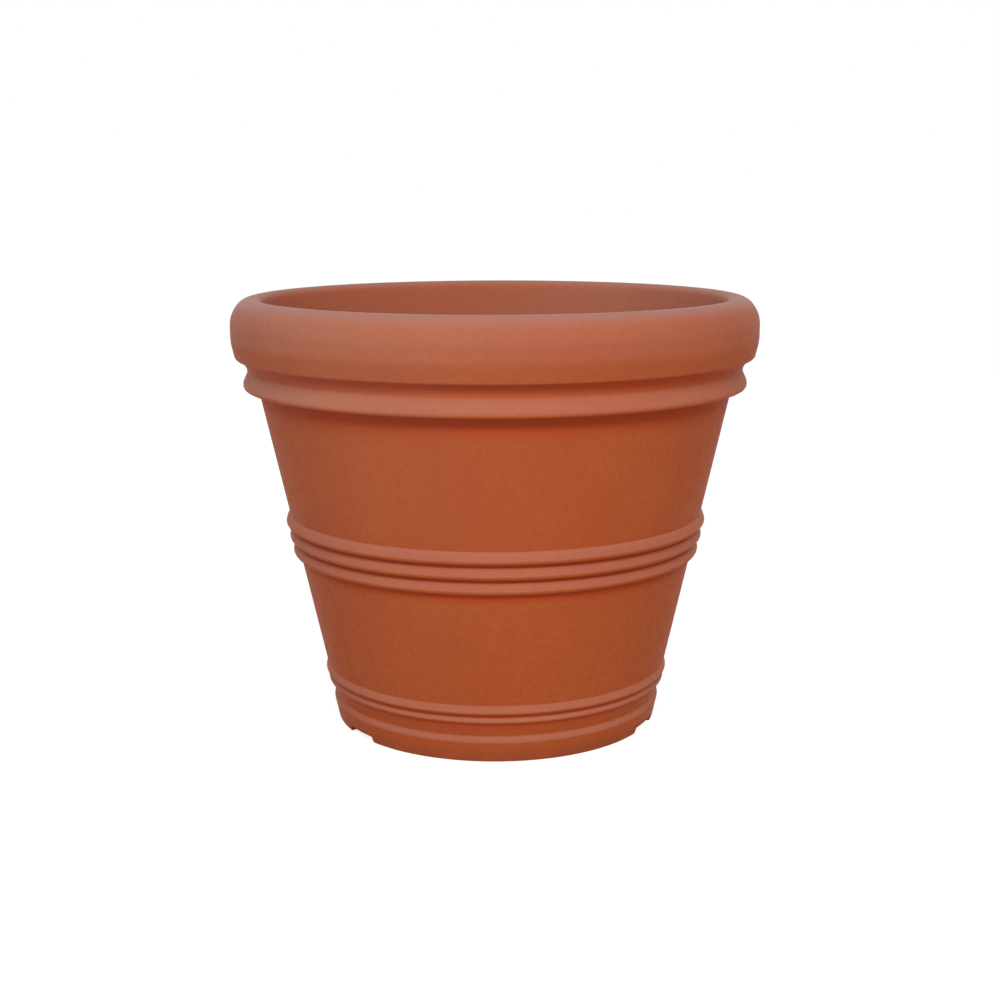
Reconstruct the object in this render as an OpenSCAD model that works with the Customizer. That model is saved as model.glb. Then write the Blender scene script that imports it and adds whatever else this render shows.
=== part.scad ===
/* [Overall size] */
// Diameter of the rim at its widest line
rim_d = 660; // [620:5:740]
// Height from the ground to the crest of the rim
height = 541; // [490:1:620]
// Diameter of the foot where it meets the ground
foot_d = 412; // [370:2:450]

/* [Moulded wall] */
// Thickness of the moulded skin, the same all round the hollow
skin = 4; // [3:0.25:5]
// Angle between the straight pieces of a rounded corner
arc_step = 10; // [6:1:15]

/* [Rim] */
// Height of the rim from its underside to its crest
rim_h = 73.5; // [68:0.5:82]
// How far the mouth's edge lies in from the rim's widest line
rim_w = 38; // [34:0.5:44]
// How far the widest line stands out from the wall line at the rim's underside
rim_overhang = 24; // [22:0.5:30]
// How far the rim's lower edge is tucked in from the widest line
rim_tuck = 5; // [2:0.5:9]
// Rounding of the rim's lower edge
rim_low_round = 5; // [2:0.5:8]
// Height above the underside at which the tuck ends
tuck_h = 21; // [16:1:26]
// Rounding where the tuck meets the upright side
tuck_round = 60; // [20:5:80]
// How far below the crest the upright side ends
crest_drop = 20; // [14:0.5:26]
// Rounding between the upright side and the sloping shoulder
side_round = 37; // [15:1:45]
// How far the shoulder's upper end lies in from the widest line
crest_in = 15.5; // [10:0.5:18]
// Rounding between the shoulder and the crest
crest_round = 22; // [8:1:26]
// Rounding of the crest's inner edge
mouth_round = 11.5; // [6:0.5:14]

/* [Collar under the rim] */
// Height of the collar
collar_h = 38.5; // [34:0.5:48]
// How far the collar's lip lies in from the rim's widest line
collar_in = 14; // [11:0.5:15]
// Height of the lip at the collar's lower edge
lip_h = 9; // [8:0.5:12]
// Rise of the collar's underside from the wall to the lip
lip_rise = 1.5; // [0:0.5:3]
// Rounding of the lip's lower edge
lip_low_round = 6; // [2:0.5:7]
// Rounding of the lip's upper edge
lip_round = 11; // [2:0.5:12]
// How far the cove between lip and rim stands out from the wall line where it is deepest
cove_proud = 6.25; // [4:0.25:7.5]
// How far the cove's deepest line lies below the rim
cove_h = 14.5; // [12:0.5:18]
// Rounding of the cove along its deepest line
cove_round = 12; // [5:0.5:16]
// How far the cove's upper end lies in from the rim's widest line
cove_top_in = 12; // [9:0.5:16]
// Rounding where the collar's underside meets the wall
collar_root_round = 3; // [1:0.5:4]

/* [Three middle beads] */
// Number of beads round the middle
mid_beads = 3; // [1:1:4]
// Height of the highest bead's upper edge above the ground
mid_top_z = 271; // [220:1:330]
// Height of one bead
mid_bead_h = 17; // [12:0.5:18]
// Height of the groove between two beads, at the wall
mid_groove = 1.5; // [1:0.5:6]
// How far the beads stand out from the wall at half their height
mid_bead_out = 6.5; // [3:0.5:8]
// How much further the lower edge of a bead's face stands out than its upper edge
mid_bead_lean = 2.5; // [0:0.25:3]
// Height of the slope at the upper edge of a bead
mid_top_flank = 5; // [3:0.5:6]
// Rounding of that upper edge
mid_top_round = 8; // [2:0.5:9]
// Height of the slope at the lower edge of a bead
mid_low_flank = 3.5; // [0.5:0.5:4.5]
// Rounding of that lower edge
mid_low_round = 6; // [1:0.5:7]

/* [Two low beads] */
// Height of the wide bead's upper edge above the ground
wide_bead_z = 74.5; // [73:0.5:90]
// Height of the wide bead
wide_bead_h = 13.5; // [10:0.5:16]
// Height of the groove between the two beads, at the wall
low_groove = 3; // [1:0.5:4]
// How far the wide bead stands out from the wall at half its height
wide_bead_out = 3.2; // [2:0.1:4]
// How much further the lower edge of the wide bead's face stands out than its upper edge
wide_bead_lean = 1.5; // [0:0.25:2]
// Height of the slope at the upper edge of the wide bead
wide_top_flank = 4.5; // [2:0.5:5]
// Rounding of that upper edge
wide_top_round = 9; // [2:0.5:10]
// Height of the slope at the lower edge of the wide bead
wide_low_flank = 3; // [0.5:0.1:3]
// Rounding of that lower edge
wide_low_round = 5; // [1:0.5:5]
// Height of the narrow bead, which is a plain half round
narrow_bead_h = 9.5; // [8:0.5:11]
// Height of the narrow bead's crest above its lower edge
narrow_crest_h = 5; // [3.5:0.5:5.5]
// How far the narrow bead's two slopes would reach out from the wall if they met in an edge
narrow_bead_out = 4.4; // [3:0.1:5]
// Rounding of the narrow bead's crest
narrow_crest_round = 4; // [2:0.5:5]
// Rounding in the root of every bead
bead_root_round = 1; // [0.5:0.5:1.5]

/* [Foot] */
// How far the foot stands out from the wall line
foot_proud = 2.8; // [0.5:0.1:4]
// Height of the foot's outer face
foot_h = 27.5; // [24:0.5:30]
// Rounding of the foot's upper edge
foot_round = 10; // [2:0.5:12]
// Rounding of the edge that meets the ground
foot_edge_round = 2.5; // [1:0.5:3]
// Height of the slope from the foot's face in to the neck
shoulder_h = 5; // [4:0.5:8]
// How far the neck lies in from the wall line
neck_in = 2; // [1:0.5:4.5]
// Rounding of the neck
neck_round = 4; // [1:0.5:6]
// Width of the ring that meets the ground
foot_ring_w = 26; // [22:1:32]
// Height of the underside inside the ring
recess_h = 18; // [15:1:20]
// How much narrower the recess is at its top than at the ground
recess_draft = 2; // [0:0.5:4]
// Rounding of the recess's upper corner
recess_round = 5; // [1:0.5:7]
// Direction of the first drain notch and drain hole, from the right-hand side
first_turn = 95; // [0:1:119]
// Width of a notch at the ground
notch_w = 54; // [30:1:70]
// Height of a notch
notch_h = 7; // [4:0.5:9]
// How much narrower a notch is at its top, on each side
notch_draft = 1.5; // [0:0.5:3]

/* [Floor] */
// Height of the inner floor above the ground
floor_h = 46; // [42:1:54]
// Rounding between the inner wall and the floor
floor_round = 24; // [10:1:30]
// Distance of the stiffening pits from the middle
pit_circle_r = 112; // [90:1:120]
// Diameter of a pit at the underside
pit_d = 48; // [36:1:56]
// How much narrower a pit is at its top
pit_taper = 20; // [8:1:24]
// Thickness over a pit, where the two skins have joined
pit_roof = 7; // [5:0.5:9]

/* [Drain holes and plugs] */
// Distance of the drain holes from the middle
drain_circle_r = 112; // [90:1:125]
// Diameter of a drain hole
drain_d = 25; // [18:0.5:32]
// Gap between a plug's stem and its hole, on each side
plug_fit = 0.05; // [0.02:0.01:0.1]
// Diameter of the plug's head
plug_head_d = 40; // [36:1:48]
// Thickness of the plug's head
plug_head_h = 5; // [3:0.5:7]
// How far the stem reaches below the underside
plug_reach = 4; // [1:0.5:8]
// Length of the stem's tapered lead-in
plug_lead = 6; // [3:0.5:10]
// How far the lead-in draws the stem in at its end
plug_lead_in = 2; // [1:0.5:3]
// Thickness of the hollow stem's wall
plug_wall = 4; // [3:0.5:5]
// Rounding of the plug's larger edges and of its waist
plug_round = 2; // [0.5:0.25:2.5]
// Rounding of the plug's sharp edges
plug_edge_round = 1; // [0.25:0.25:1.5]
// Diameter of the grip's waist
grip_waist_d = 12; // [8:0.5:14]
// Diameter of the grip's top
grip_d = 20; // [16:0.5:24]
// Height of the grip above the head
grip_h = 13; // [10:0.5:18]
// Thickness of the grip's top
grip_top_h = 5; // [3:0.5:6]
// Height of the flare from the waist out to the grip's top
grip_flare = 2; // [1:0.5:3]

/* [Vent plug] */
// Diameter of the mould's vent hole in the underside
vent_d = 12; // [8:0.5:16]
// Distance of the vent hole from the middle
vent_r = 62; // [50:1:70]
// Gap between the vent plug and its hole, on each side
vent_fit = 0.05; // [0.02:0.01:0.1]
// How far the flange stands out past the hole
vent_flange = 4; // [2:0.5:6]
// Thickness of the flange
vent_flange_h = 2.5; // [1.5:0.5:4]
// How far the catch behind the skin stands out past the hole
vent_catch = 0.8; // [0.4:0.1:1.2]
// Play between the skin and the catch behind it
vent_play = 0.2; // [0.1:0.1:0.4]
// Length of the stem behind the skin
vent_stem = 8; // [6:0.5:12]
// Thickness of the vent plug's hollow stem
vent_wall = 2; // [1.5:0.25:2.5]
// Bevel of the flange and of the stem's end
vent_bevel = 1; // [0.5:0.1:1.4]

/* [Hidden] */
$fn = 96;

terracotta = "#AC5632";
black_rubber = "#2A2928";
brown_plastic = "#7A3E27";

rim_r = rim_d / 2;
foot_r = foot_d / 2;
rim_z = height - rim_h;
collar_z = rim_z - collar_h;
collar_r = rim_r - collar_in;
mouth_r = rim_r - rim_w;
foot_line_r = foot_r - foot_proud;
wall_slope = (rim_r - rim_overhang - foot_line_r) / rim_z;
floor_r = mouth_r - wall_slope * (height - floor_h);
recess_r = foot_r - foot_ring_w;
pit_top = floor_h - pit_roof;
narrow_top_z = wide_bead_z - wide_bead_h - low_groove;
narrow_low_z = narrow_top_z - narrow_bead_h;
narrow_crest_z = narrow_low_z + narrow_crest_h;
mid_pitch = mid_bead_h + mid_groove;

// Every drain hole has a notch in line with it, a pit halfway to the next one and a plug of its own
drains = 3;
drain_turn = 360 / drains;

// How far a cut runs past the surface that it opens
overcut = 10;

// Radius of the outer wall line at height z
function wall_r(z) = foot_line_r + wall_slope * z;

// Key points are [radius, height, rounding]; this takes the place alone
function place(key) = [key[0], key[1]];
function unit(v) = v / norm(v);
function left_of(v) = [-v[1], v[0]];

// Arc of the rounded corner c on the way from a to b, kept within half of each side
function corner(a, c, b) =
    let (
        p = place(c),
        to_a = unit(place(a) - p),
        to_b = unit(place(b) - p),
        half = acos(max(-1, min(1, to_a * to_b))) / 2,
        side = min(norm(place(a) - p), norm(place(b) - p)) / 2,
        reach = half > 89 ? 0 : min(c[2] / tan(half), side)
    )
    reach == 0 ? [p] :
    let (
        radius = reach * tan(half),
        centre = p + unit(to_a + to_b) * radius / sin(half),
        start = p + to_a * reach - centre,
        first = atan2(start[1], start[0]),
        sweep = (180 - 2 * half) * (cross(to_a, to_b) > 0 ? -1 : 1),
        steps = max(1, ceil(abs(sweep) / arc_step))
    )
    [for (i = [0 : steps])
        let (turn = first + sweep * i / steps)
        centre + radius * [cos(turn), sin(turn)]];

// Points of an open outline through the key points
function outline(keys) =
    [for (i = [0 : len(keys) - 1])
        each (i == 0 || i == len(keys) - 1 ? [place(keys[i])] : corner(keys[i - 1], keys[i], keys[i + 1]))];

// The same key points moved inward, to the left of the way along them
function inward(keys, depth) =
    [for (i = [0 : len(keys) - 1])
        let (
            before = unit(place(keys[max(i, 1)]) - place(keys[max(i, 1) - 1])),
            after_i = min(i, len(keys) - 2),
            after = unit(place(keys[after_i + 1]) - place(keys[after_i])),
            n1 = left_of(before),
            n2 = left_of(after),
            moved = place(keys[i]) + (n1 + n2) * depth / (1 + n1 * n2),
            rounding = cross(before, after) > 0 ? max(1, keys[i][2] - depth) : keys[i][2] + depth
        )
        [moved[0], moved[1], rounding]];

// Key points of a bead. Its edges, the lower one first, are [slope height, rounding]
function bead(top, tall, out, lean, edges) =
    let (
        low = top - tall,
        face_r = wall_r(low + tall / 2) + out
    )
    [
        [wall_r(low), low, bead_root_round],
        [face_r + lean / 2, low + edges[0][0], edges[0][1]],
        [face_r - lean / 2, top - edges[1][0], edges[1][1]],
        [wall_r(top), top, bead_root_round]
    ];

// The underside from the middle out to the ground, the foot's face and the neck
foot_keys = [
    [0, recess_h, 0],
    [recess_r - recess_draft, recess_h, recess_round],
    [recess_r, 0, foot_edge_round],
    [foot_r, 0, foot_edge_round],
    [wall_r(foot_h) + foot_proud, foot_h, foot_round],
    [wall_r(foot_h + shoulder_h) - neck_in, foot_h + shoulder_h, neck_round]
];

wide_bead_edges = [[wide_low_flank, wide_low_round], [wide_top_flank, wide_top_round]];
mid_bead_edges = [[mid_low_flank, mid_low_round], [mid_top_flank, mid_top_round]];

bead_keys = [
    [wall_r(narrow_low_z), narrow_low_z, bead_root_round],
    [wall_r(narrow_crest_z) + narrow_bead_out, narrow_crest_z, narrow_crest_round],
    [wall_r(narrow_top_z), narrow_top_z, bead_root_round],
    each bead(wide_bead_z, wide_bead_h, wide_bead_out, wide_bead_lean, wide_bead_edges),
    for (i = [mid_beads - 1 : -1 : 0])
        each bead(mid_top_z - i * mid_pitch, mid_bead_h, mid_bead_out, mid_bead_lean, mid_bead_edges)
];

// The neck runs out to the wall line where the narrow bead begins
neck_end_key = [wall_r(narrow_low_z), narrow_low_z, neck_round];

collar_keys = [
    [wall_r(collar_z), collar_z, collar_root_round],
    [collar_r, collar_z + lip_rise, lip_low_round],
    [collar_r, collar_z + lip_h, lip_round],
    [wall_r(rim_z - cove_h) + cove_proud, rim_z - cove_h, cove_round],
    [rim_r - cove_top_in, rim_z, bead_root_round]
];

rim_keys = [
    [rim_r - rim_tuck, rim_z, rim_low_round],
    [rim_r, rim_z + tuck_h, tuck_round],
    [rim_r, height - crest_drop, side_round],
    [rim_r - crest_in, height, crest_round],
    [mouth_r, height, mouth_round]
];

inside_keys = [
    [floor_r, floor_h, floor_round],
    [0, floor_h, 0]
];

outer_outline = outline([each foot_keys, each bead_keys, each collar_keys, each rim_keys, each inside_keys]);
hollow_outline = outline(inward(
    [each foot_keys, neck_end_key, each collar_keys, each rim_keys, each inside_keys], skin));

// Copies the children round the upright axis, once for each drain hole
module around(first) {
    for (i = [0 : drains - 1])
        rotate([0, 0, first + i * drain_turn]) children();
}

// Straight sided tunnel through the foot ring, grown on every side by extra
module notch(extra) {
    top_w = notch_w - 2 * notch_draft + 2 * extra;
    low_w = notch_w + 2 * extra;
    inner_end = recess_r - recess_draft - overcut;
    translate([inner_end, 0, 0])
        rotate([90, 0, 90])
            linear_extrude(foot_ring_w + recess_draft + 2 * overcut)
                polygon([
                    [-low_w / 2, -overcut],
                    [low_w / 2, -overcut],
                    [low_w / 2, 0],
                    [top_w / 2, notch_h + extra],
                    [-top_w / 2, notch_h + extra],
                    [-low_w / 2, 0]
                ]);
}

// Diameter of a stiffening pit at height z
function pit_width(z) = pit_d - pit_taper * (z - recess_h) / (pit_top - recess_h);

// Cone of a stiffening pit from one height to another, grown all round by extra
module pit(low, high, extra) {
    translate([0, 0, low])
        cylinder(d1 = pit_width(low) + 2 * extra, d2 = pit_width(high) + 2 * extra, h = high - low);
}

// The middle pit and one halfway between every two drain holes
module pit_places() {
    children();
    around(first_turn + drain_turn / 2)
        translate([pit_circle_r, 0, 0]) children();
}

module drain_places() {
    around(first_turn)
        translate([drain_circle_r, 0, 0]) children();
}

// The vent hole lies halfway between a drain hole and a pit
module vent_place() {
    rotate([0, 0, first_turn + drain_turn / 4])
        translate([vent_r, 0, 0]) children();
}

// The space between the outer and the inner skin, less what crosses it
module hollow() {
    difference() {
        rotate_extrude() polygon(hollow_outline);
        around(first_turn) notch(skin);
        pit_places() pit(recess_h, floor_h, skin);
        drain_places() cylinder(d = drain_d + 2 * skin, h = floor_h);
    }
}

module planter_shell() {
    color(terracotta)
        difference() {
            rotate_extrude() polygon(outer_outline);
            hollow();
            around(first_turn) notch(0);
            pit_places() pit(recess_h - overcut, pit_top, 0);
            drain_places() cylinder(d = drain_d, h = floor_h + overcut);
            vent_place() cylinder(d = vent_d, h = recess_h + skin + vent_stem);
        }
}

// Rubber plug: a head that rests on the floor, a grip above it and a hollow stem in the hole
module drain_plug(index) {
    stem_r = drain_d / 2 - plug_fit;
    stem_low = recess_h - plug_reach;
    head_r = plug_head_d / 2;
    head_top = floor_h + plug_head_h;
    waist_r = grip_waist_d / 2;
    grip_r = grip_d / 2;
    grip_top = head_top + grip_h;
    grip_low = grip_top - grip_top_h;
    plug_keys = [
        [stem_r - plug_wall, stem_low, 0],
        [stem_r - plug_lead_in, stem_low, plug_edge_round],
        [stem_r, stem_low + plug_lead, plug_round],
        [stem_r, floor_h, 0],
        [head_r, floor_h, plug_edge_round],
        [head_r, head_top, plug_round],
        [waist_r, head_top, plug_round],
        [waist_r, grip_low - grip_flare, plug_round],
        [grip_r, grip_low, plug_edge_round],
        [grip_r, grip_top, plug_round],
        [0, grip_top, 0]
    ];
    color(black_rubber)
        rotate([0, 0, first_turn + index * drain_turn])
            translate([drain_circle_r, 0, 0])
                rotate_extrude()
                    polygon([
                        each outline(plug_keys),
                        [0, floor_h - plug_wall],
                        [stem_r - plug_wall, floor_h - plug_wall]
                    ]);
}

module drain_plug_1() { drain_plug(0); }
module drain_plug_2() { drain_plug(1); }
module drain_plug_3() { drain_plug(2); }

// Push-in plug that closes the vent hole from below
module vent_plug() {
    stem_r = vent_d / 2 - vent_fit;
    flange_r = vent_d / 2 + vent_flange;
    flange_low = recess_h - vent_flange_h;
    catch_low = recess_h + skin + vent_play;
    stem_top = recess_h + skin + vent_stem;
    color(brown_plastic)
        vent_place()
            rotate_extrude()
                polygon([
                    [0, flange_low],
                    [flange_r - vent_bevel, flange_low],
                    [flange_r, flange_low + vent_bevel],
                    [flange_r, recess_h],
                    [stem_r, recess_h],
                    [stem_r, catch_low],
                    [vent_d / 2 + vent_catch, catch_low + vent_catch],
                    [stem_r - vent_bevel, stem_top],
                    [stem_r - vent_wall, stem_top],
                    [stem_r - vent_wall, recess_h],
                    [0, recess_h]
                ]);
}

planter_shell();
drain_plug_1();
drain_plug_2();
drain_plug_3();
vent_plug();
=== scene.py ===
# %% [markdown]
# # A terracotta-coloured floor planter
#
# The planter is one large moulding in polyethylene. Powdered plastic is tumbled in a hot steel mould
# until it coats the inside, so the shell comes out hollow, with soft corners and a dull skin.
# This lesson turns its outline round an axis, cuts the foot and the floor to their real form, and then
# gives the plastic, the rubber plugs and the small vent plug their finishes.
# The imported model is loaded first. It stays where it is, and every piece made here rides on one of its
# bodies.

import math

import bmesh
import bpy
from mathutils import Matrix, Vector


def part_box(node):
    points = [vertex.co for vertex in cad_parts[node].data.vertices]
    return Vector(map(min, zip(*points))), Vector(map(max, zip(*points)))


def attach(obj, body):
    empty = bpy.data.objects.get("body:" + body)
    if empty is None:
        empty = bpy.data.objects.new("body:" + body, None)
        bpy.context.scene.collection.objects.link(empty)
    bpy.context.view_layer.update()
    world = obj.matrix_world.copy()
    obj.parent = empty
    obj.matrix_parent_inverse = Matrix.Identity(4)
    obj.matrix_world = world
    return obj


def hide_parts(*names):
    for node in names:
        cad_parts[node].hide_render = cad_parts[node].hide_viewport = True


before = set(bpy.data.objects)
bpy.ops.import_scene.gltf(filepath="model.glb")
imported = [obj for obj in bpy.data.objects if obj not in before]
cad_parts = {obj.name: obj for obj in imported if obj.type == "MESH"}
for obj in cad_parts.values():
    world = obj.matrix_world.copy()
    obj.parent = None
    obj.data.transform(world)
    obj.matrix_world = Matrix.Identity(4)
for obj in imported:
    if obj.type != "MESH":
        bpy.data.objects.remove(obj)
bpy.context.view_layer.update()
shell_low, shell_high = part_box("planter_shell")
MM = 0.001

# %% [markdown]
# ## The outline as key points
#
# A moulded pot is easiest to describe by the corners of its section, each with its own rounding: a mould
# maker would draw the same list. A few points with true arcs stay easy to change, and they shade better
# than a hand-placed curve, because each arc meets its straight sides without a kink.

# %% Round the corners of a line of key points
ARC_STEP = 4.0  # degrees between the points of a rounding


def arc(before, corner, after, rounding):
    """Points of one rounded corner, kept within half of each side."""
    a, p, b = Vector(before), Vector(corner), Vector(after)
    to_a, to_b = (a - p).normalized(), (b - p).normalized()
    half = math.acos(max(-1.0, min(1.0, to_a.dot(to_b)))) / 2
    if rounding == 0 or half > math.radians(89):
        return [p]
    reach = min(rounding / math.tan(half), (a - p).length / 2, (b - p).length / 2)
    radius = reach * math.tan(half)
    centre = p + (to_a + to_b).normalized() * (radius / math.sin(half))
    start, end = p + to_a * reach - centre, p + to_b * reach - centre
    first = math.atan2(start.y, start.x)
    turn = math.atan2(start.x * end.y - start.y * end.x, start.dot(end))
    steps = max(1, math.ceil(abs(math.degrees(turn)) / ARC_STEP))
    angles = [first + turn * i / steps for i in range(steps + 1)]
    return [centre + radius * Vector((math.cos(t), math.sin(t))) for t in angles]


def outline(keys):
    """Points of an open line through keys [across, up, rounding], in the keys' own unit."""
    points = [Vector(keys[0][:2])]
    for before, key, after in zip(keys, keys[1:], keys[2:]):
        points += arc(before[:2], key[:2], after[:2], key[2])
    return points + [Vector(keys[-1][:2])]


print("a right angle rounds to", len(outline([(0, 0, 0), (10, 0, 3), (10, 10, 0)])) - 2, "points")

# %% [markdown]
# ## The planter's section
#
# All sizes are in millimetres, the unit that a mould drawing has. The rim's radius and the height come
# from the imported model. The wall leans out by the same slope from foot to rim, so beads and collar are
# set out from that line. A name that ends in _ROUND is the rounding of a corner.

# %% Sizes of rim, collar, foot and floor
RIM_R = min(-shell_low.x, -shell_low.y, shell_high.x, shell_high.y) / MM
HEIGHT = shell_high.z / MM
RIM_H, RIM_W = 73.5, 38.0
RIM_OVERHANG, RIM_TUCK = 24.0, 5.0
MOUTH_R = RIM_R - RIM_W
RIM_Z = HEIGHT - RIM_H
COLLAR_H, COLLAR_IN = 38.5, 14.0
COLLAR_Z = RIM_Z - COLLAR_H
COVE_H, COVE_PROUD, COVE_TOP_IN = 14.5, 6.25, 12.0
FOOT_R, FOOT_PROUD = 206.0, 2.8
FOOT_FACE_H, SHOULDER_H, NECK_IN = 27.5, 5.0, 2.0
RECESS_Z, RECESS_R, RECESS_DRAFT = 18.0, 180.0, 2.0
FLOOR_Z = 46.0
WALL_FOOT_R = FOOT_R - FOOT_PROUD
WALL_SLOPE = (RIM_R - RIM_OVERHANG - WALL_FOOT_R) / RIM_Z
FLOOR_R = MOUTH_R - WALL_SLOPE * (HEIGHT - FLOOR_Z)


def wall_r(z):
    """Radius of the plain outer wall at height z."""
    return WALL_FOOT_R + WALL_SLOPE * z


print(f"the wall leans {math.degrees(math.atan(WALL_SLOPE)):.1f} degrees, floor radius {FLOOR_R:.0f} mm")

# %% A bead whose face leans, with softly sloping edges
ROOT_ROUND = 1.0


def bead(top, tall, out, lean, edges):
    """Key points of a bead; each edge, the lower first, is (height of its slope, rounding)."""
    low = top - tall
    face_r = wall_r(low + tall / 2) + out
    (low_slope, low_round), (top_slope, top_round) = edges
    return [
        (wall_r(low), low, ROOT_ROUND),
        (face_r + lean / 2, low + low_slope, low_round),
        (face_r - lean / 2, top - top_slope, top_round),
        (wall_r(top), top, ROOT_ROUND),
    ]


BEAD_COUNT, BEAD_TOP, BEAD_H, BEAD_GROOVE = 3, 271.0, 17.0, 1.5
BEAD_OUT, BEAD_LEAN, BEAD_EDGES = 6.5, 2.5, ((3.5, 6.0), (5.0, 8.0))
WIDE_TOP, WIDE_H = 74.5, 13.5
WIDE_OUT, WIDE_LEAN, WIDE_EDGES = 3.2, 1.5, ((3.0, 5.0), (4.5, 9.0))
LOW_GROOVE = 3.0
NARROW_H, NARROW_CREST_H, NARROW_OUT, NARROW_ROUND = 9.5, 5.0, 4.4, 4.0
NARROW_TOP = WIDE_TOP - WIDE_H - LOW_GROOVE
NARROW_LOW = NARROW_TOP - NARROW_H
NARROW_CREST = NARROW_LOW + NARROW_CREST_H
print(f"{BEAD_COUNT} beads end {BEAD_TOP:.1f} mm up, two finer ones end {WIDE_TOP} and {NARROW_TOP} mm up")

# %% Sizes of the section's corners
FOOT_EDGE_ROUND, FOOT_CREST_ROUND, NECK_ROUND = 2.5, 10.0, 4.0
RECESS_ROUND, RECESS_FLAT = 5.0, 12.0
COLLAR_ROOT_ROUND, COVE_ROUND = 3.0, 12.0
COLLAR_LOW_H, COLLAR_LOW_ROUND = 1.5, 6.0
COLLAR_FACE_H, COLLAR_TOP_ROUND = 9.0, 11.0
RIM_LOW_ROUND = 5.0
RIM_SWELL_H, RIM_SWELL_ROUND = 21.0, 60.0
RIM_TOP_H, RIM_TOP_ROUND = 20.0, 37.0
CREST_IN, CREST_ROUND = 15.5, 22.0
MOUTH_ROUND = 11.5
FLOOR_ROUND, FLOOR_FLAT = 24.0, 26.0
print(f"the crest lies {CREST_IN} mm in from the rim's side, the mouth {RIM_W} mm")


# %% The section from the underside, round the outside and down to the inner floor
def shell_keys(ground):
    """Key points of the whole section where the foot's lower edge is at height ground."""
    foot_slope = (wall_r(FOOT_FACE_H) + FOOT_PROUD - FOOT_R) / FOOT_FACE_H
    shoulder_z = FOOT_FACE_H + SHOULDER_H
    keys = [
        (RECESS_R - RECESS_DRAFT - RECESS_FLAT, RECESS_Z, 0),
        (RECESS_R - RECESS_DRAFT, RECESS_Z, RECESS_ROUND),
        (RECESS_R - RECESS_DRAFT * ground / RECESS_Z, ground, FOOT_EDGE_ROUND),
        (FOOT_R + foot_slope * ground, ground, FOOT_EDGE_ROUND),
        (wall_r(FOOT_FACE_H) + FOOT_PROUD, FOOT_FACE_H, FOOT_CREST_ROUND),
        (wall_r(shoulder_z) - NECK_IN, shoulder_z, NECK_ROUND),
        (wall_r(NARROW_LOW), NARROW_LOW, ROOT_ROUND),
        (wall_r(NARROW_CREST) + NARROW_OUT, NARROW_CREST, NARROW_ROUND),
        (wall_r(NARROW_TOP), NARROW_TOP, ROOT_ROUND),
    ]
    keys += bead(WIDE_TOP, WIDE_H, WIDE_OUT, WIDE_LEAN, WIDE_EDGES)
    for i in reversed(range(BEAD_COUNT)):
        keys += bead(BEAD_TOP - i * (BEAD_H + BEAD_GROOVE), BEAD_H, BEAD_OUT, BEAD_LEAN, BEAD_EDGES)
    return keys + [
        (wall_r(COLLAR_Z), COLLAR_Z, COLLAR_ROOT_ROUND),
        (RIM_R - COLLAR_IN, COLLAR_Z + COLLAR_LOW_H, COLLAR_LOW_ROUND),
        (RIM_R - COLLAR_IN, COLLAR_Z + COLLAR_FACE_H, COLLAR_TOP_ROUND),
        (wall_r(RIM_Z - COVE_H) + COVE_PROUD, RIM_Z - COVE_H, COVE_ROUND),
        (RIM_R - COVE_TOP_IN, RIM_Z, ROOT_ROUND),
        (RIM_R - RIM_TUCK, RIM_Z, RIM_LOW_ROUND),
        (RIM_R, RIM_Z + RIM_SWELL_H, RIM_SWELL_ROUND),
        (RIM_R, HEIGHT - RIM_TOP_H, RIM_TOP_ROUND),
        (RIM_R - CREST_IN, HEIGHT, CREST_ROUND),
        (MOUTH_R, HEIGHT, MOUTH_ROUND),
        (FLOOR_R, FLOOR_Z, FLOOR_ROUND),
        (FLOOR_R - FLOOR_FLAT, FLOOR_Z, 0),
    ]


LONG_SIDE = 16.0  # mm; longer straight stretches get points between, so that faces stay even


def section(ground):
    """The section's points, with long straight stretches divided the same way for every ground."""
    points = outline(shell_keys(ground))
    plain = outline(shell_keys(0.0))
    cut = [points[0]]
    for i in range(1, len(points)):
        parts = max(1, math.ceil((plain[i] - plain[i - 1]).length / LONG_SIDE))
        cut += [points[i - 1].lerp(points[i], k / parts) for k in range(1, parts + 1)]
    return cut


print("points in the section:", len(section(0.0)))

# %% [markdown]
# ## How sheltered each point is
#
# Under its collar and in the grooves of its beads the pot lies in shade. Rays from every point of the
# section, at heights from which light comes from above, tell how much of that sky the section itself
# hides. The result goes into the mesh as an attribute that the finish can read: it paints shade there as
# a stronger orange, and keeps the painted highlight off it.

# %% Part of the sky that the section hides from each of its points
SHELTER_REACH = 45.0  # mm
SKY_HEIGHTS = [math.radians(a) for a in range(12, 70, 4)]
NEARLY_PARALLEL = 1e-9
OWN_SIDE = 0.01  # mm; what a ray meets nearer than this is the point's own side


def meets(p, way, a, b):
    """Whether the ray from p along the unit vector way crosses the side from a to b within reach."""
    side, off = b - a, a - p
    turn = way.x * side.y - way.y * side.x
    if abs(turn) < NEARLY_PARALLEL:
        return False
    far = (off.x * side.y - off.y * side.x) / turn
    along = (off.x * way.y - off.y * way.x) / turn
    return OWN_SIDE < far < SHELTER_REACH and 0.0 <= along <= 1.0


def shelter(points):
    """Hidden share of the sky in front of every point, from 0 in the open to 1 under an overhang."""
    sides = list(zip(points, points[1:]))
    shares = []
    for i, p in enumerate(points):
        ahead = points[min(i + 1, len(points) - 1)] - points[max(i - 1, 0)]
        normal = Vector((ahead.y, -ahead.x))
        front = 1.0 if normal.x >= 0 else -1.0
        near = [s for s in sides if p not in s and (s[0] - p).length < SHELTER_REACH]
        hidden = 0
        for height in SKY_HEIGHTS:
            way = Vector((front * math.cos(height), math.sin(height)))
            hidden += way.dot(normal) <= 0 or any(meets(p, way, a, b) for a, b in near)
        shares.append(hidden / len(SKY_HEIGHTS))
    return shares


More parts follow.
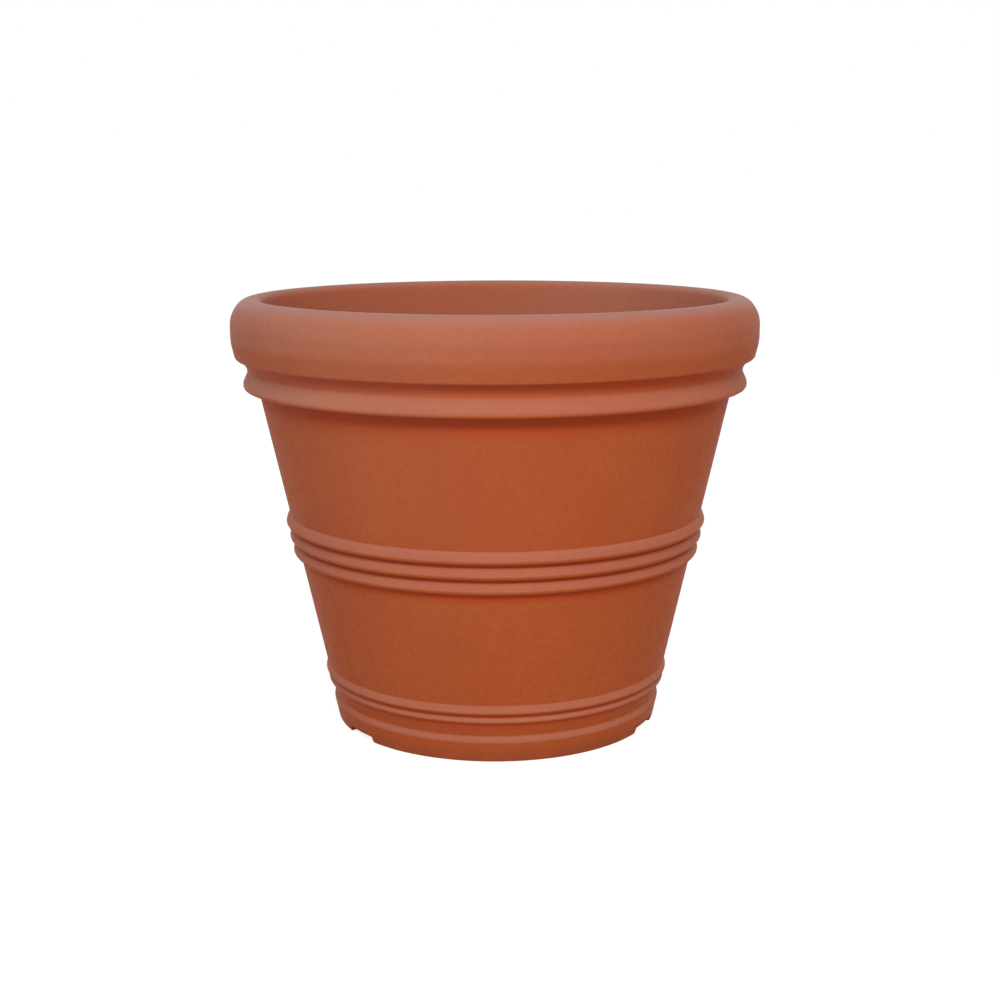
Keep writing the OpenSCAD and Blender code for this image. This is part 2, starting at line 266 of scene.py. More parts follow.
section_shelter = shelter(section(0.0))
print("sheltered points:", sum(share > 0.5 for share in section_shelter), "of", len(section_shelter))

# %% [markdown]
# ## Stations round the axis, with three drain notches
#
# Water from the drain holes leaves through three low notches in the foot. A boolean cut would leave
# knife edges there. Instead the section itself changes on its way round: within a notch the foot's lower
# edge is lifted, and the stations crowd together where the notch's flanks rise. The edges keep their
# rounding, and the whole wall stays all quads.

# %% Where each section stands, and how high its foot is
DRAINS = 3
FIRST_TURN = math.radians(95.0)
DRAIN_TURN = 2 * math.pi / DRAINS
NOTCH_W, NOTCH_H, NOTCH_DRAFT = 54.0, 7.0, 1.5
NOTCH_LOW_ROUND, NOTCH_TOP_ROUND = 2.0, 2.5
NOTCH_MARGIN = 6.0
NOTCH_SIDE = NOTCH_W / 2 + NOTCH_MARGIN
NOTCH_KEYS = [
    (-NOTCH_SIDE, 0.0, 0),
    (-NOTCH_W / 2, 0.0, NOTCH_LOW_ROUND),
    (-NOTCH_W / 2 + NOTCH_DRAFT, NOTCH_H, NOTCH_TOP_ROUND),
    (NOTCH_W / 2 - NOTCH_DRAFT, NOTCH_H, NOTCH_TOP_ROUND),
    (NOTCH_W / 2, 0.0, NOTCH_LOW_ROUND),
    (NOTCH_SIDE, 0.0, 0),
]
NOTCH_STEP = 4.5  # mm between the stations of a notch, at most
STEP = math.radians(1.25)  # between the other stations
INNER_R = RECESS_R - 10.0  # mm; further in, the stations keep their angles


def notch_stations():
    """(sideways, lift) of the stations across one notch."""
    points = outline(NOTCH_KEYS)
    cut = [points[0]]
    for a, b in zip(points, points[1:]):
        parts = max(1, math.ceil((b - a).length / NOTCH_STEP))
        cut += [a.lerp(b, k / parts) for k in range(1, parts + 1)]
    return [(p.x, p.y) for p in cut]


def between_notches(r):
    """Angle from the last station of one notch to the first of the next, at radius r."""
    return DRAIN_TURN - 2 * math.asin(NOTCH_SIDE / r)


def stations():
    """(turn of the notch, sideways, share of the way to the next, lift) of every section."""
    made = []
    steps = round(between_notches(FOOT_R) / STEP)
    for i in range(DRAINS):
        turn = FIRST_TURN + i * DRAIN_TURN
        made += [(turn, s, 0.0, lift) for s, lift in notch_stations()]
        made += [(turn, NOTCH_SIDE, k / steps, 0.0) for k in range(1, steps)]
    return made


def angle_at(station, r):
    """The station's angle at radius r: a notch's flanks are parallel, so sideways stays the same."""
    turn, side, share, _ = station
    held = min(max(r, INNER_R), FOOT_R)
    return turn + math.asin(side / held) + share * between_notches(held)


print("sections round the axis:", len(stations()))

# %% [markdown]
# ## The flat floors with their holes
#
# The inner floor has three drain holes. The underside has the same holes, four conical pits where the two
# floors are pressed together in the mould, and the small hole that lets air out of the mould. Each hole
# is a ring of its own, turned like the pot, with a rounded mouth, and the flat floor between the
# rings is filled in one go. Nothing is booleaned, so the roundings meet the flat without a seam.

# %% Mesh helpers
def ring(bm, centre, r, z, count):
    """A ring of vertices, in mm."""
    angles = [2 * math.pi * i / count for i in range(count)]
    spots = [(centre[0] + r * math.cos(t), centre[1] + r * math.sin(t), z) for t in angles]
    return [bm.verts.new(Vector(s) * MM) for s in spots]


def skin(bm, lower, upper):
    """Quads between two closed rings with as many vertices."""
    count = len(lower)
    for i in range(count):
        j = (i + 1) % count
        face = bm.faces.new((lower[i], lower[j], upper[j], upper[i]))
        face.smooth = True


def cap(bm, edge_ring, z):
    """Closes a ring with a fan round its middle, at height z."""
    middle = sum((v.co for v in edge_ring), Vector()) / len(edge_ring)
    top = bm.verts.new((middle.x, middle.y, z * MM))
    for i, v in enumerate(edge_ring):
        bm.faces.new((v, edge_ring[(i + 1) % len(edge_ring)], top))


def tube(bm, centre, points, count):
    """A turned wall through points (r, z) about an upright axis; gives its first and last rings."""
    rings = [ring(bm, centre, p[0], p[1], count) for p in points]
    for a, b in zip(rings, rings[1:]):
        skin(bm, a, b)
    return rings[0], rings[-1]


def flat(bm, loops):
    """Fills the flat between closed rings, the first being the outer one."""
    edges = []
    for loop in loops:
        for i, v in enumerate(loop):
            w = loop[(i + 1) % len(loop)]
            edges.append(bm.edges.get((v, w)) or bm.edges.new((v, w)))
    bmesh.ops.triangle_fill(bm, use_beauty=True, edges=edges)


def finished(bm, name):
    """Turns the bmesh into an object with outward normals."""
    bmesh.ops.recalc_face_normals(bm, faces=bm.faces)
    mesh = bpy.data.meshes.new(name)
    bm.to_mesh(mesh)
    bm.free()
    made = bpy.data.objects.new(name, mesh)
    bpy.context.scene.collection.objects.link(made)
    print(name, len(mesh.vertices), "vertices,", len(mesh.polygons), "faces")
    return made


print("helpers for rings, skins, caps, turned walls and flats are ready")

# %% Sizes of holes and pits
DRAIN_CIRCLE_R, DRAIN_D, DRAIN_ROUND = 112.0, 25.0, 1.5
PIT_CIRCLE_R, PIT_D, PIT_TAPER, PIT_ROOF = 112.0, 48.0, 20.0, 7.0
PIT_ROUND, PIT_TOP_ROUND, PIT_CAP_R = 3.0, 4.0, 3.0
VENT_R, VENT_D, VENT_DEPTH, VENT_ROUND = 62.0, 12.0, 12.0, 0.4
HOLE_COUNT = 72
FLAT_EDGE, VENT_EDGE = 8.0, 2.0  # mm of flat round a mouth that belongs to its turned wall


def spot(turn, r):
    """A place on the floor, in mm."""
    return (r * math.cos(turn), r * math.sin(turn))


drain_turns = [FIRST_TURN + i * DRAIN_TURN for i in range(DRAINS)]
drain_spots = [spot(t, DRAIN_CIRCLE_R) for t in drain_turns]
pit_spots = [(0.0, 0.0)] + [spot(t + DRAIN_TURN / 2, PIT_CIRCLE_R) for t in drain_turns]
vent_spot = spot(FIRST_TURN + DRAIN_TURN / 4, VENT_R)


def drain_wall():
    """Section of a drain hole from the underside up to the inner floor."""
    r, out = DRAIN_D / 2, DRAIN_D / 2 + FLAT_EDGE
    return outline([
        (out, RECESS_Z, 0),
        (r, RECESS_Z, DRAIN_ROUND),
        (r, FLOOR_Z, DRAIN_ROUND),
        (out, FLOOR_Z, 0),
    ])


def pit_wall():
    """Section of a pit from the underside to its round top."""
    r, top = PIT_D / 2, FLOOR_Z - PIT_ROOF
    return outline([
        (r + FLAT_EDGE, RECESS_Z, 0),
        (r, RECESS_Z, PIT_ROUND),
        (r - PIT_TAPER / 2, top, PIT_TOP_ROUND),
        (PIT_CAP_R, top, 0),
    ])


def vent_wall():
    """Section of the blind part of the vent hole."""
    r = VENT_D / 2
    return outline([
        (r + VENT_EDGE, RECESS_Z, 0),
        (r, RECESS_Z, VENT_ROUND),
        (r, RECESS_Z + VENT_DEPTH, 0),
    ])


print("drain holes at", [tuple(round(v) for v in s) for s in drain_spots])

# %% [markdown]
# ## The shell
#
# Now the section is set up at every station, neighbours are joined by quads, and the two flat floors are
# filled between the shell's own rings and those of the holes.

# %% Build the shell
def build_shell():
    bm = bmesh.new()
    sheltered = bm.verts.layers.float.new("shelter")
    places = stations()
    columns = []
    for station in places:
        column = []
        for p, share in zip(section(station[3]), section_shelter):
            t = angle_at(station, p.x)
            vertex = bm.verts.new((p.x * math.cos(t) * MM, p.x * math.sin(t) * MM, p.y * MM))
            vertex[sheltered] = share
            column.append(vertex)
        columns.append(column)
    rows = list(zip(*columns))
    for lower, upper in zip(rows, rows[1:]):
        skin(bm, lower, upper)
    floor_loops, under_loops = [rows[-1]], [rows[0]]
    for place in drain_spots:
        low, high = tube(bm, place, drain_wall(), HOLE_COUNT)
        under_loops.append(low)
        floor_loops.append(high)
    for place in pit_spots:
        low, high = tube(bm, place, pit_wall(), HOLE_COUNT)
        under_loops.append(low)
        cap(bm, high, FLOOR_Z - PIT_ROOF)
    low, high = tube(bm, vent_spot, vent_wall(), HOLE_COUNT)
    under_loops.append(low)
    cap(bm, high, RECESS_Z + VENT_DEPTH)
    flat(bm, floor_loops)
    flat(bm, under_loops)
    return finished(bm, "planter_body")


planter_body = build_shell()

# %% [markdown]
# ## The plugs
#
# Each drain hole is closed by a black rubber plug: a disc that lies on the floor, a knob to pull it by,
# and a hollow stem in the hole. They are turned parts too. The disc carries a fine ring groove, as a
# turned rubber mould leaves, and the knob a shallow dish. The vent plug is a small brown push-in part
# under the floor.

# %% Turn a closed piece about an upright axis
def turned(name, centre, points, count):
    """A closed piece from a section that starts and ends on its own axis."""
    bm = bmesh.new()
    low, high = tube(bm, centre, points[1:-1], count)
    cap(bm, low, points[0].y)
    cap(bm, high, points[-1].y)
    return finished(bm, name)


PLUG_COUNT = 96
print("plugs are turned with", PLUG_COUNT, "steps")

# %% A drain plug, three times
PLUG_FIT, PLUG_WALL = 0.05, 4.0
STEM_R = DRAIN_D / 2 - PLUG_FIT
STEM_PROUD = 4.0
STEM_LOW = RECESS_Z - STEM_PROUD
STEM_TAPER, STEM_TAPER_H = 2.0, 6.0
HEAD_R, HEAD_H, HEAD_BEVEL, HEAD_BEVEL_H = 20.0, 5.0, 3.0, 1.2
GROOVE_R, GROOVE_HALF, GROOVE_DEEP = 12.7, 0.8, 0.7
WAIST_R, GRIP_R, GRIP_H, GRIP_TOP_H, GRIP_UNDER_H = 6.0, 10.0, 13.0, 5.0, 2.0
DISH_R, DISH_LOW_R, DISH_DEEP = 4.5, 3.0, 1.0


def plug_section():
    """Section of a drain plug, from the roof of its hollow stem round to the top of its knob."""
    head_top = FLOOR_Z + HEAD_H
    grip_top = head_top + GRIP_H
    hollow_top = FLOOR_Z - PLUG_WALL
    return outline([
        (0.0, hollow_top, 0),
        (STEM_R - PLUG_WALL, hollow_top, 1.5),
        (STEM_R - PLUG_WALL, STEM_LOW, 0.6),
        (STEM_R - STEM_TAPER, STEM_LOW, 1.0),
        (STEM_R, STEM_LOW + STEM_TAPER_H, 2.0),
        (STEM_R, FLOOR_Z, 0),
        (HEAD_R, FLOOR_Z, 0.6),
        (HEAD_R, head_top - HEAD_BEVEL_H, 1.2),
        (HEAD_R - HEAD_BEVEL, head_top, 2.0),
        (GROOVE_R + GROOVE_HALF, head_top, 0.5),
        (GROOVE_R, head_top - GROOVE_DEEP, 0.5),
        (GROOVE_R - GROOVE_HALF, head_top, 0.5),
        (WAIST_R, head_top, 2.5),
        (WAIST_R, grip_top - GRIP_TOP_H - GRIP_UNDER_H, 3.0),
        (GRIP_R, grip_top - GRIP_TOP_H, 1.2),
        (GRIP_R, grip_top, 1.8),
        (DISH_R, grip_top, 1.0),
        (DISH_LOW_R, grip_top - DISH_DEEP, 1.5),
        (0.0, grip_top - DISH_DEEP, 0),
    ])


drain_plugs = []
for number, place in enumerate(drain_spots, 1):
    piece = turned(f"rubber_plug_{number}", place, plug_section(), PLUG_COUNT)
    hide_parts(f"drain_plug_{number}")
    drain_plugs.append(piece)

# %% The vent plug
VENT_FLANGE_R, VENT_FLANGE_H, VENT_SKIN = 10.0, 2.5, 4.0
VENT_STEM_R, VENT_STEM_H, VENT_STEM_TAPER = VENT_D / 2 - PLUG_FIT, 8.0, 1.0
VENT_DISH_R, VENT_DISH_LOW_R, VENT_DISH_DEEP = 5.6, 4.6, 0.8


def vent_section():
    """Section of the vent plug, from the middle of its face round to the end of its stem."""
    face = RECESS_Z - VENT_FLANGE_H
    return outline([
        (0.0, face + VENT_DISH_DEEP, 0),
        (VENT_DISH_LOW_R, face + VENT_DISH_DEEP, 0.8),
        (VENT_DISH_R, face, 0.6),
        (VENT_FLANGE_R, face, 1.2),
        (VENT_FLANGE_R, RECESS_Z, 0.3),
        (VENT_STEM_R, RECESS_Z, 0),
        (VENT_STEM_R, RECESS_Z + VENT_SKIN, 0),
        (VENT_STEM_R - VENT_STEM_TAPER, RECESS_Z + VENT_STEM_H, 0.5),
        (0.0, RECESS_Z + VENT_STEM_H, 0),
    ])


vent_cover = turned("vent_cover", vent_spot, vent_section(), PLUG_COUNT)
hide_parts("vent_plug")
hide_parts("planter_shell")

# %% [markdown]
# ## Finishes: colours and one helper for nodes
#
# Colours are written as they look on screen, in hex, and one function turns them to the linear values
# that the shader adds and multiplies. Another small function adds a node with its settings and links.

# %% Colour and node helpers
def linear(hexa):
    """A colour like #AC5632 as linear red, green, blue and alpha."""
    parts = [int(hexa[i:i + 2], 16) / 255 for i in (1, 3, 5)]
    return [c / 12.92 if c <= 0.04045 else ((c + 0.055) / 1.055) ** 2.4 for c in parts] + [1.0]


def per_metre(size_mm):
    """Texture scale for a pattern whose features are size_mm apart."""
    return 1 / (size_mm * MM)


def add(tree, kind, inputs, **settings):
    """Adds a node. An input takes a number or a colour, or the socket that feeds it."""
    made = tree.nodes.new(kind)
    for name, value in settings.items():
        setattr(made, name, value)
    for name, value in inputs.items():
        if isinstance(value, bpy.types.NodeSocket):
            tree.links.new(value, made.inputs[name])
        else:
            made.inputs[name].default_value = value
    return made


def new_material(name):
    """An empty material with its output; gives the material, its tree and the output node."""
    made = bpy.data.materials.new(name)
    made.use_nodes = True
    made.node_tree.nodes.clear()
    return made, made.node_tree, made.node_tree.nodes.new("ShaderNodeOutputMaterial")


print("terracotta in linear light:", [round(v, 3) for v in linear("#AC5632")])

# %% [markdown]
# ## Rotationally moulded polyethylene
#
# The pigment is mixed into the powder dry, so the colour is the same right through, with a faint mottle
# where grains melted together. The mould is sand-blasted, so the skin is dull with a fine grain and has
# hardly any gloss. What faces up is paler and pinker, with a soft haze: partly chalking by sun and rain,
# partly a painted highlight where the light from above falls. The sides are paler too, a little, most on
# the left and on collar and rim: partly chalking, partly a painted sheen and painted light from the left.
# The rim's face has less of that paleness and a darker brown trace: painted shade. The crest of the rim
# is greyer: partly dusty, partly a painted reflection of the sky. Grooves and what lies under the collar
# are a stronger orange: painted shade where the lamp's shadow falls. The foot's lower edge is darker in
# patches.
#
# So the finish is a pigment under six thin layers. Three short tables say what makes each layer show, and
# one loop for each table adds its nodes: patterns, soft steps that read them, and their products and sums.

# %% The shell's pigment, the layers over it and their patterns
PIGMENT = "#AE522B"
LAYERS = {
    "warm_patches": "#B1562D",
    "deep_mottle": "#A74C26",
    # Painted shade: the stronger orange of what lies in shade under the collar and in the grooves.
    "painted_shade_orange": "#B0441C",
    # Partly chalking, partly painted highlight on what faces up and painted sheen on the sides.
    "chalk_and_painted_highlight": "#BDB4AC",
    # Partly dusty grey, partly a painted reflection of the sky on the crest.
    "dust_and_sky_reflection": "#949599",
    # Darker brown towards the foot's lower edge, and painted shade on the rim's face.
    "darker_foot_and_shaded_rim": "#6A4636",
}
# Size of the features in mm, and the noise's detail. The real grain is about 0.4 mm; it is drawn at
# 1.6 mm, because a finer one would not show.
PATTERNS = {"patches": (140, 3.0), "mottle": (7, 4.0), "foot_patches": (22, 5.0), "grain": (1.6, 2.0)}
GRAIN_DEEP, GRAIN_STRENGTH, HAZE = 0.12, 0.25, 0.4
print("layers over the pigment:", ", ".join(LAYERS))

# %% How much of each layer, painted light and shade among them, and where
# Chalking with a painted highlight on what faces up, and with a painted sheen on the sides.
UPWARD_CHALK_AND_HIGHLIGHT, RIGHT_CHALK_AND_SHEEN, LEFT_CHALK_AND_SHEEN = 0.10, 0.01, 0.035
# Crest grey with a painted reflection, a darker foot edge, and painted shade on the rim's face.
TOP_DUST_AND_REFLECTION, FOOT_DARKENING, RIM_SHADE = 0.25, 0.35, 0.08
EDGE = 5.0  # mm over which one stretch of the outside blends into the next
# Each amount runs softly from low to high while what it reads goes from start to end:
# what it reads, start, end, low, high. Heights are in metres, as the shader reads them.
AMOUNTS = {
    # Unevenness of the plastic itself.
    "warm_patches": ("patches", 0.35, 0.65, 0.0, 1.0),
    "deep_mottle": ("mottle", 0.35, 0.7, 0.0, 0.5),
    "roughness": ("mottle", 0.3, 0.7, 0.5, 0.6),
    # Painted shade: what the section shelters turns a stronger orange; the rest is in the open air.
    "painted_shade_orange": ("shelter", 0.25, 0.65, 0.0, 1.0),
    "open_air": ("shelter", 0.1, 0.65, 1.0, 0.0),
    # Stretches of the outside.
    "on_rim": ("height", RIM_Z * MM, (RIM_Z + EDGE) * MM, 0.0, 1.0),
    "above_wall": ("height", (COLLAR_Z - EDGE) * MM, (COLLAR_Z + EDGE) * MM, 0.0, 1.0),
    # Chalking and painted highlight on what faces up, stronger low down and on the left.
    "faces_up": ("up", -0.17, 0.11, 0.0, UPWARD_CHALK_AND_HIGHLIGHT),
    "more_low_down": ("height", 60 * MM, 150 * MM, 1.3, 1.05),
    "less_on_foot": ("height", 33 * MM, 45 * MM, 0.85, 1.0),
    # Less paleness on the rim: painted shade on the rim's face.
    "less_on_rim": ("on_rim", 0.0, 1.0, 1.0, 0.75),
    "more_leftward": ("right", -0.2, -0.8, 1.0, 1.4),
    # Chalking and painted sheen on the sides, with painted light from the left.
    "faces_aside": ("right", 0.3, -0.6, RIGHT_CHALK_AND_SHEEN, LEFT_CHALK_AND_SHEEN),
    "aside_by_height": ("height", 60 * MM, 400 * MM, 0.4, 1.1),
    "aside_above_wall": ("above_wall", 0.0, 1.0, 1.0, 2.0),
    # Dusty grey and painted reflection on the crest, darker foot edge in patches, painted shade on the
    # rim.
    "dust_and_sky_reflection": ("up", 0.4, 0.95, 0.0, TOP_DUST_AND_REFLECTION),
    # Darker towards the foot's lower edge, in patches.
    "near_ground": ("height", 5 * MM, 20 * MM, FOOT_DARKENING, 0.0),
    "foot_patchiness": ("foot_patches", 0.35, 0.65, 0.3, 1.0),
    # Painted shade on the rim's face, fading out just under the crest.
    "below_crest": ("height", (HEIGHT - 18.0) * MM, (HEIGHT - 3.0) * MM, RIM_SHADE, 0.0),
}
print(len(AMOUNTS), "soft steps")

# %% Amounts worked out from two others
COMBINED = {
    "exposure": ("MULTIPLY", "open_air", "more_low_down"),
    "less_on_foot_and_rim": ("MULTIPLY", "less_on_foot", "less_on_rim"),
    "exposed": ("MULTIPLY", "exposure", "less_on_foot_and_rim"),
    "upward": ("MULTIPLY", "faces_up", "exposed"),
    # Chalking and painted highlight on what faces up, stronger on the left above the wall.
    "chalk_and_highlight_up": ("MULTIPLY", "upward", "left_above_wall"),
    "aside": ("MULTIPLY", "faces_aside", "aside_by_height"),
    # Chalking and painted sheen on the sides.
    "chalk_and_sheen_aside": ("MULTIPLY", "aside", "aside_above_wall"),
    "chalk_and_painted_highlight": ("ADD", "chalk_and_highlight_up", "chalk_and_sheen_aside"),
    "darker_at_foot": ("MULTIPLY", "near_ground", "foot_patchiness"),
    # Painted shade on the rim's face.
    "shaded_rim_face": ("MULTIPLY", "on_rim", "below_crest"),
    "darker_foot_and_shaded_rim": ("ADD", "darker_at_foot", "shaded_rim_face"),
    # Painted highlight, chalking and dusty grey with painted reflection; together they set the sheen's
    # weight.
    "painted_highlight_and_dust": ("ADD", "chalk_and_highlight_up", "dust_and_sky_reflection"),
}
print(len(COMBINED), "products and sums")


# %% The shell's material
def polyethylene():
    mat, tree, out = new_material("rotomoulded_polyethylene_terracotta")
    where = add(tree, "ShaderNodeTexCoord", {})
    place = where.outputs["Object"]
    facing = add(tree, "ShaderNodeSeparateXYZ", {"Vector": where.outputs["Normal"]}).outputs
    read = {
        "shelter": add(tree, "ShaderNodeAttribute", {}, attribute_name="shelter").outputs["Fac"],
        "height": add(tree, "ShaderNodeSeparateXYZ", {"Vector": place}).outputs["Z"],
        "up": facing["Z"],
        "right": facing["X"],
    }
    for name, (size_mm, detail) in PATTERNS.items():
        inputs = {"Vector": place, "Scale": per_metre(size_mm), "Detail": detail}
        read[name] = add(tree, "ShaderNodeTexNoise", inputs).outputs["Fac"]
    for name, (what, start, end, low, high) in AMOUNTS.items():
        inputs = {"Value": read[what], 1: start, 2: end, 3: low, 4: high}
        soft_step = add(tree, "ShaderNodeMapRange", inputs, interpolation_type="SMOOTHSTEP")
        read[name] = soft_step.outputs[0]
    # The painted highlight is stronger on the left, above the wall.
    inputs = {0: read["above_wall"], 2: 1.0, 3: read["more_leftward"]}
    read["left_above_wall"] = add(tree, "ShaderNodeMix", inputs, data_type="FLOAT").outputs[0]
    for name, (operation, one, other) in COMBINED.items():
        inputs = {0: read[one], 1: read[other]}
        read[name] = add(tree, "ShaderNodeMath", inputs, operation=operation).outputs[0]
    # Over the pigment: random tone, chalking, dusty grey, darkening, and painted shade, highlight, sheen
    # and reflection.
    colour = linear(PIGMENT)
    for name, layer in LAYERS.items():
        inputs = {0: read[name], 6: colour, 7: linear(layer)}
        colour = add(tree, "ShaderNodeMix", inputs, data_type="RGBA").outputs[2]

    grain = {"Height": read["grain"], "Strength": GRAIN_STRENGTH, "Distance": GRAIN_DEEP * MM}
    haze = add(tree, "ShaderNodeMath", {0: read["painted_highlight_and_dust"], 1: HAZE}, operation="MULTIPLY")
    shader = add(tree, "ShaderNodeBsdfPrincipled", {
        "Base Color": colour,
        "Roughness": read["roughness"],
        "IOR": 1.51,
        "Specular IOR Level": 0.03,
        "Sheen Weight": haze.outputs[0],
        "Sheen Roughness": 0.4,
        "Normal": add(tree, "ShaderNodeBump", grain).outputs["Normal"],
    })
    tree.links.new(shader.outputs[0], out.inputs["Surface"])
    return mat


shell_finish = polyethylene()
print(shell_finish.name, "has", len(shell_finish.node_tree.nodes), "nodes")

# %% [markdown]
# ## Rubber and plug plastic
#
# The drain plugs are black rubber, pressed in a hot mould. Their skin is dull and faintly pored, and the
# wax that rubber sweats out, its bloom, greys it in cloudy patches. The vent plug is polyethylene too, but
# injection moulded in a smooth steel mould, so it is a little glossier and shows the melt's faint flow.
# The rubber's pores are really about 0.2 mm; they are drawn at 0.8 mm, so that they show.

# %% Black rubber and brown plug plastic
BLOOM, PORES, PORE_DEEP, FLOW = 5, 0.8, 0.08, 9  # mm


def rubber():
    mat, tree, out = new_material("moulded_black_rubber")
    place = add(tree, "ShaderNodeTexCoord", {}).outputs["Object"]
    clouds = {"Vector": place, "Scale": per_metre(BLOOM), "Detail": 4.0}
    bloom = add(tree, "ShaderNodeTexNoise", clouds).outputs["Fac"]
    greyed = {0: bloom, 6: linear("#232220"), 7: linear("#3A3835")}
    bloomed = add(tree, "ShaderNodeMix", greyed, data_type="RGBA")
    dull = add(tree, "ShaderNodeMapRange", {"Value": bloom, 1: 0.3, 2: 0.7, 3: 0.55, 4: 0.75})
    pores = add(tree, "ShaderNodeTexNoise", {"Vector": place, "Scale": per_metre(PORES), "Detail": 2.0})
    pitted = {"Height": pores.outputs["Fac"], "Strength": 0.3, "Distance": PORE_DEEP * MM}
    shader = add(tree, "ShaderNodeBsdfPrincipled", {
        "Base Color": bloomed.outputs[2],
        "Roughness": dull.outputs[0],
        "IOR": 1.52,
        "Normal": add(tree, "ShaderNodeBump", pitted).outputs["Normal"],
    })
    tree.links.new(shader.outputs[0], out.inputs["Surface"])
    return mat


def plug_plastic():
    mat, tree, out = new_material("injection_moulded_polyethylene_brown")
    place = add(tree, "ShaderNodeTexCoord", {}).outputs["Object"]
    streaks = {"Vector": place, "Scale": per_metre(FLOW), "Detail": 3.0}
    flow = add(tree, "ShaderNodeTexNoise", streaks).outputs["Fac"]
    browns = {0: flow, 6: linear("#6B3521"), 7: linear("#7F432B")}
    flowed = add(tree, "ShaderNodeMix", browns, data_type="RGBA")
    dull = add(tree, "ShaderNodeMapRange", {"Value": flow, 1: 0.3, 2: 0.7, 3: 0.35, 4: 0.45})
    shader = add(tree, "ShaderNodeBsdfPrincipled", {
        "Base Color": flowed.outputs[2],
        "Roughness": dull.outputs[0],
        "IOR": 1.51,
    })
    tree.links.new(shader.outputs[0], out.inputs["Surface"])
    return mat


rubber_finish, vent_finish = rubber(), plug_plastic()
for finish in (rubber_finish, vent_finish):
    print(finish.name, "has", len(finish.node_tree.nodes), "nodes")

# %% Put the finishes on and let each piece ride on its body
planter_body.data.materials.append(shell_finish)
vent_cover.data.materials.append(vent_finish)
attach(planter_body, "planter")
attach(vent_cover, "planter")
for number, piece in enumerate(drain_plugs, 1):
    piece.data.materials.append(rubber_finish)
    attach(piece, f"plug_{number}")
for piece in [planter_body, vent_cover] + drain_plugs:
    print(piece.name, "is made of", piece.data.materials[0].name)

# %% [markdown]
# ## Floor, light and camera
#
# The planter stands on a pale floor under soft light from above. The floor and the sky look white to the
# camera, but that white isn't what lights the planter: the sky's own strength and one broad lamp do.

# %% What the camera sees as white
def seen_rays(tree):
    """One for the rays that show the background: from the camera, off gloss and through glass."""
    rays = add(tree, "ShaderNodeLightPath", {}).outputs
    shown = {0: rays["Is Camera Ray"], 1: rays["Is Glossy Ray"]}
    seen = add(tree, "ShaderNodeMath", shown, operation="MAXIMUM").outputs[0]
    through = {0: seen, 1: rays["Is Transmission Ray"]}
    return add(tree, "ShaderNodeMath", through, operation="MAXIMUM").outputs[0]


def grey(level):
    """A grey as linear red, green, blue and alpha."""
    return [level] * 3 + [1.0]


print("white is", grey(1.0))

# %% Floor
FLOOR_HALF, FLOOR_CELLS = 30.0, 8
FLOOR_PALE, FLOOR_SHADED, FLOOR_LIFT = 0.68, 0.3, 0.86


def pale_floor():
    mat, tree, out = new_material("pale_studio_floor")
    matte = add(tree, "ShaderNodeBsdfDiffuse", {"Color": grey(FLOOR_PALE)})
    shaded = add(tree, "ShaderNodeBsdfDiffuse", {"Color": grey(FLOOR_SHADED)})
    lift = add(tree, "ShaderNodeEmission", {"Color": grey(1.0), "Strength": FLOOR_LIFT})
    lifted = add(tree, "ShaderNodeAddShader", {0: shaded.outputs[0], 1: lift.outputs[0]})
    surface = {0: seen_rays(tree), 1: matte.outputs[0], 2: lifted.outputs[0]}
    shown = add(tree, "ShaderNodeMixShader", surface)
    tree.links.new(shown.outputs[0], out.inputs["Surface"])
    return mat


bm = bmesh.new()
bmesh.ops.create_grid(bm, x_segments=FLOOR_CELLS, y_segments=FLOOR_CELLS, size=FLOOR_HALF)
floor = finished(bm, "studio_floor")
floor.data.materials.append(pale_floor())

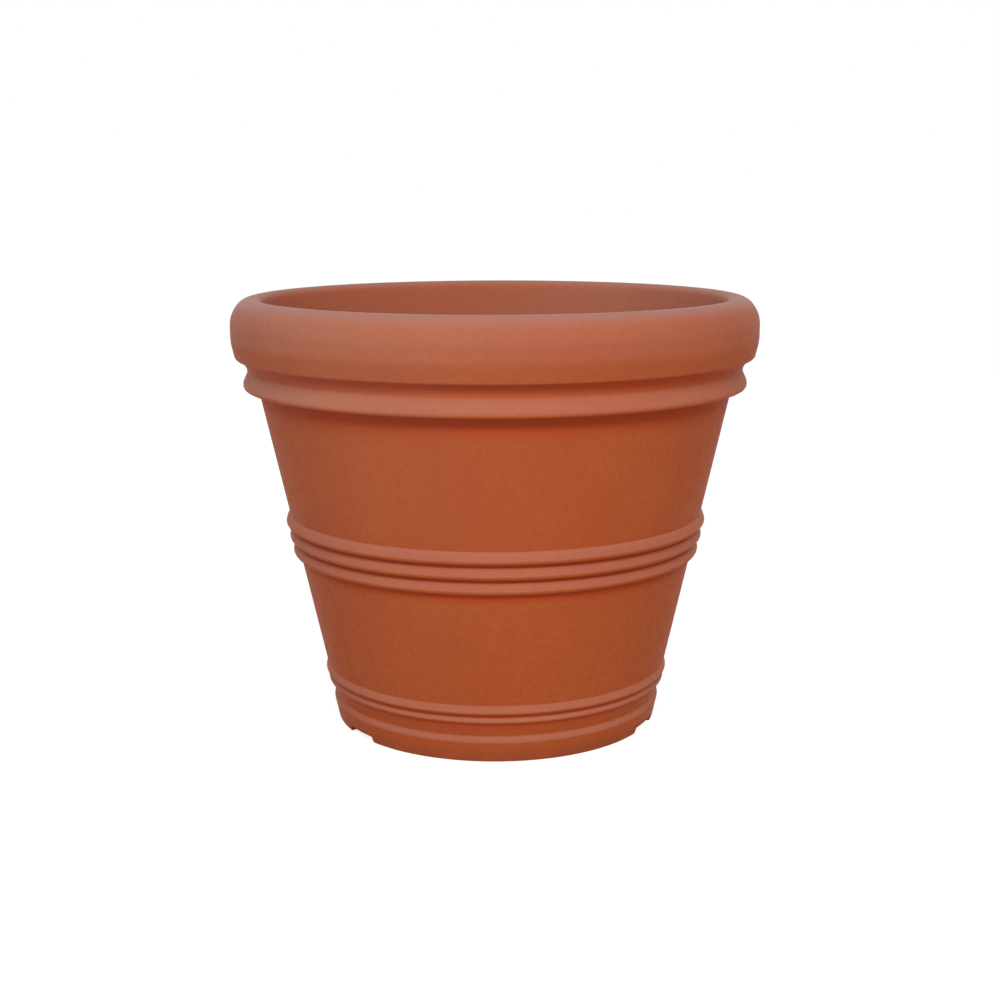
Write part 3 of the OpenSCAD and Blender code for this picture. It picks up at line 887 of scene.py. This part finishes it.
# %% Sky
SKY = 0.49
world = bpy.data.worlds.new("studio_sky")
world.use_nodes = True
bpy.context.scene.world = world
sky = world.node_tree
sky.nodes.clear()
soft_sky = add(sky, "ShaderNodeBackground", {"Color": grey(1.0), "Strength": SKY})
white_sky = add(sky, "ShaderNodeBackground", {"Color": grey(1.0), "Strength": 1.0})
skies = {0: seen_rays(sky), 1: soft_sky.outputs[0], 2: white_sky.outputs[0]}
shown_sky = add(sky, "ShaderNodeMixShader", skies)
add(sky, "ShaderNodeOutputWorld", {"Surface": shown_sky.outputs[0]})
print("the sky lights the planter at", SKY)

# %% A broad, low softbox in front
LAMP_LEVEL = 0.64
LAMP_FAR, LAMP_W, LAMP_H = 3.6, 3.0, 0.7
LAMP_UP, LAMP_SIDE = math.radians(36.0), math.radians(2.0)
AIM = Vector((0.0, 0.0, 0.3))
lamp_data = bpy.data.lights.new("softbox", "AREA")
lamp_data.shape = "RECTANGLE"
lamp_data.size, lamp_data.size_y = LAMP_W, LAMP_H
lamp_data.energy = LAMP_LEVEL * (math.pi * LAMP_FAR) ** 2
lamp = bpy.data.objects.new("softbox", lamp_data)
bpy.context.scene.collection.objects.link(lamp)
towards = Vector((
    math.sin(LAMP_SIDE) * math.cos(LAMP_UP),
    -math.cos(LAMP_SIDE) * math.cos(LAMP_UP),
    math.sin(LAMP_UP),
))
lamp.location = AIM + towards * LAMP_FAR
lamp.rotation_euler = towards.to_track_quat("Z", "Y").to_euler()
print(f"softbox of {lamp_data.energy:.1f} W, {LAMP_FAR} m away")

# %% Camera
CAMERA_BACK, CAMERA_UP = 1.9792, 0.6792
CAMERA_YAW, CAMERA_PITCH, CAMERA_ROLL = math.radians(0.196), math.radians(11.454), math.radians(0.14)
FOCAL_PIXELS, PICTURE, SENSOR = 1565.0, 1000, 36.0
camera_data = bpy.data.cameras.new("camera")
camera_data.sensor_width = SENSOR
camera_data.lens = SENSOR * FOCAL_PIXELS / PICTURE
camera = bpy.data.objects.new("camera", camera_data)
bpy.context.scene.collection.objects.link(camera)
camera.location = (0.0, -CAMERA_BACK, CAMERA_UP)
camera.rotation_euler = (math.pi / 2 - CAMERA_PITCH, CAMERA_ROLL, -CAMERA_YAW)
bpy.context.scene.camera = camera
bpy.context.scene.view_settings.view_transform = "Standard"
print(f"camera {CAMERA_BACK} m in front, {CAMERA_UP} m up, lens {camera_data.lens:.1f} mm")
